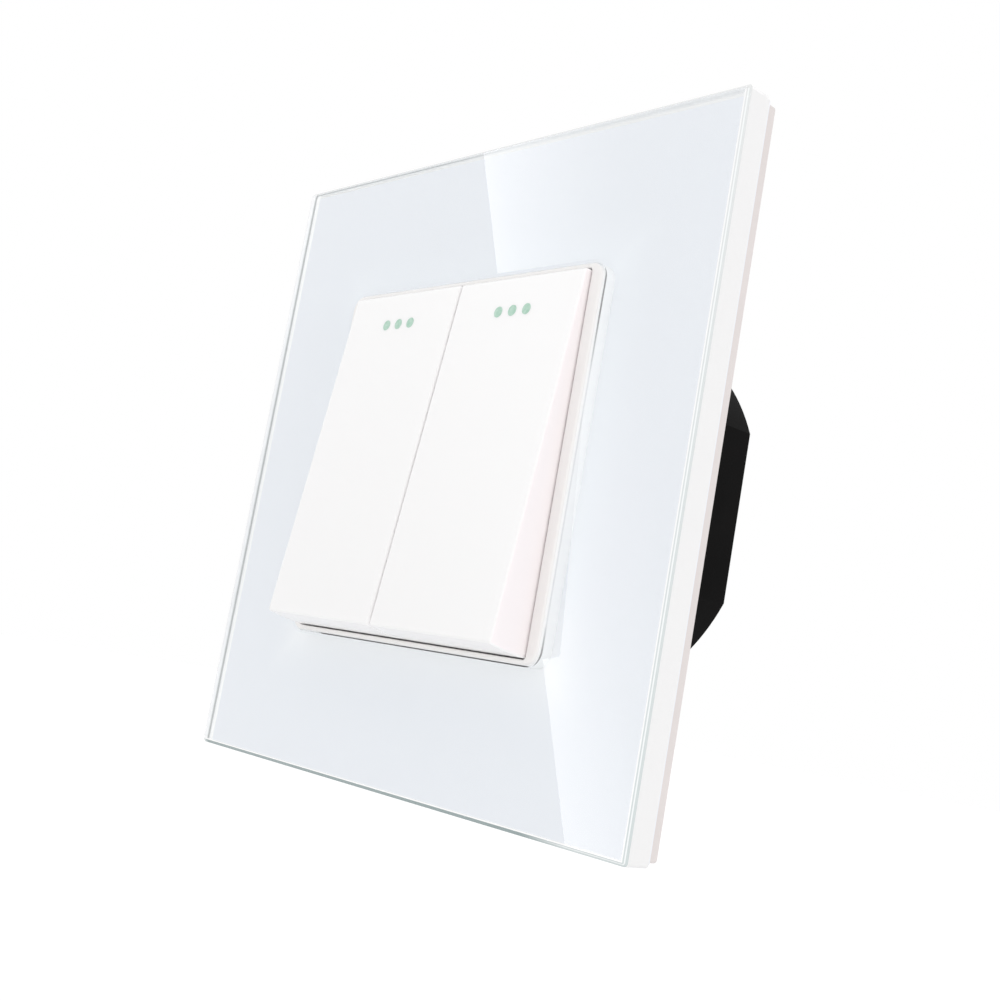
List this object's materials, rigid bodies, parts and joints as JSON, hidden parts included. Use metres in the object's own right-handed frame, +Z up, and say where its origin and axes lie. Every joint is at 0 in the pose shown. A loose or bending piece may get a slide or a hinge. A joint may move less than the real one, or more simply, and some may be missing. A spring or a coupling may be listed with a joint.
{
  "type": "light switch",
  "caption": "Wall light switch: square glass panel, side-by-side rocker keys with green dots, changeover contacts and a black rear housing for a round wall box.",
  "frame": {"origin": "centre of the box screws, in the plane of the wall's face", "axes": "+X to the right seen from the front, +Y into the wall, +Z up; the front faces -Y"},
  "size_m": [0.086, 0.0393, 0.086],
  "materials": {
    "clear_glass": "polished clear glass",
    "panel_print": "pale print seen through the glass",
    "white_plastic": "satin white moulding",
    "carrier_plastic": "satin off-white moulding",
    "key_plastic": "smooth white moulding",
    "green_dots": "pale green inlay",
    "nylon": "natural nylon",
    "black_plastic": "fine textured moulding",
    "zinc_steel": "zinc plated sheet",
    "screw_steel": "zinc plated",
    "spring_steel": "bright wire",
    "brass": "stamped brass",
    "contact_silver": "silver contact faces"
  },
  "bodies": {
    "root": {"glass_panel": "clear_glass", "panel_print": "panel_print", "panel_carrier": "carrier_plastic", "module_frame": "white_plastic", "support_yoke": "zinc_steel", "module_screws": "screw_steel", "rear_housing": "black_plastic", "contact_cover": "black_plastic", "fixed_contact_tips": "contact_silver", "terminal_screws": "screw_steel", "terminal_block_upper_left": "brass", "terminal_block_upper_right": "brass", "terminal_block_common_left": "brass", "terminal_block_common_right": "brass", "terminal_block_lower_left": "brass", "terminal_block_lower_right": "brass", "common_bracket_left": "brass", "fixed_contact_upper_left": "brass", "fixed_contact_lower_left": "brass", "common_bracket_right": "brass", "fixed_contact_upper_right": "brass", "fixed_contact_lower_right": "brass"},
    "rocker_left": {"key_left": "key_plastic", "indicator_dots_left": "green_dots", "lever_left": "nylon", "plunger_left": "nylon", "plunger_spring_left": "spring_steel"},
    "contact_left": {"contact_bridge_left": "brass", "contact_tips_left": "contact_silver"},
    "rocker_right": {"key_right": "key_plastic", "indicator_dots_right": "green_dots", "lever_right": "nylon", "plunger_right": "nylon", "plunger_spring_right": "spring_steel"},
    "contact_right": {"contact_bridge_right": "brass", "contact_tips_right": "contact_silver"}
  },
  "joints": [
    {"name": "rocker_left_press", "type": "hinge", "parent": "root", "child": "rocker_left", "pos_m": [-0.0116, -0.00785, 0], "axis": [1, 0, 0], "range_deg": [0, 12]},
    {"name": "contact_left_rock", "type": "hinge", "parent": "root", "child": "contact_left", "pos_m": [-0.0116, 0.00742, 0], "axis": [1, 0, 0], "range_deg": [-18, 0]},
    {"name": "rocker_right_press", "type": "hinge", "parent": "root", "child": "rocker_right", "pos_m": [0.0116, -0.00785, 0], "axis": [1, 0, 0], "range_deg": [0, 12]},
    {"name": "contact_right_rock", "type": "hinge", "parent": "root", "child": "contact_right", "pos_m": [0.0116, 0.00742, 0], "axis": [1, 0, 0], "range_deg": [-18, 0]}
  ],
  "couplings": [
    {"joint": "contact_left_rock", "follows": "rocker_left_press", "ratio": -1.5},
    {"joint": "contact_right_rock", "follows": "rocker_right_press", "ratio": -1.5}
  ]
}
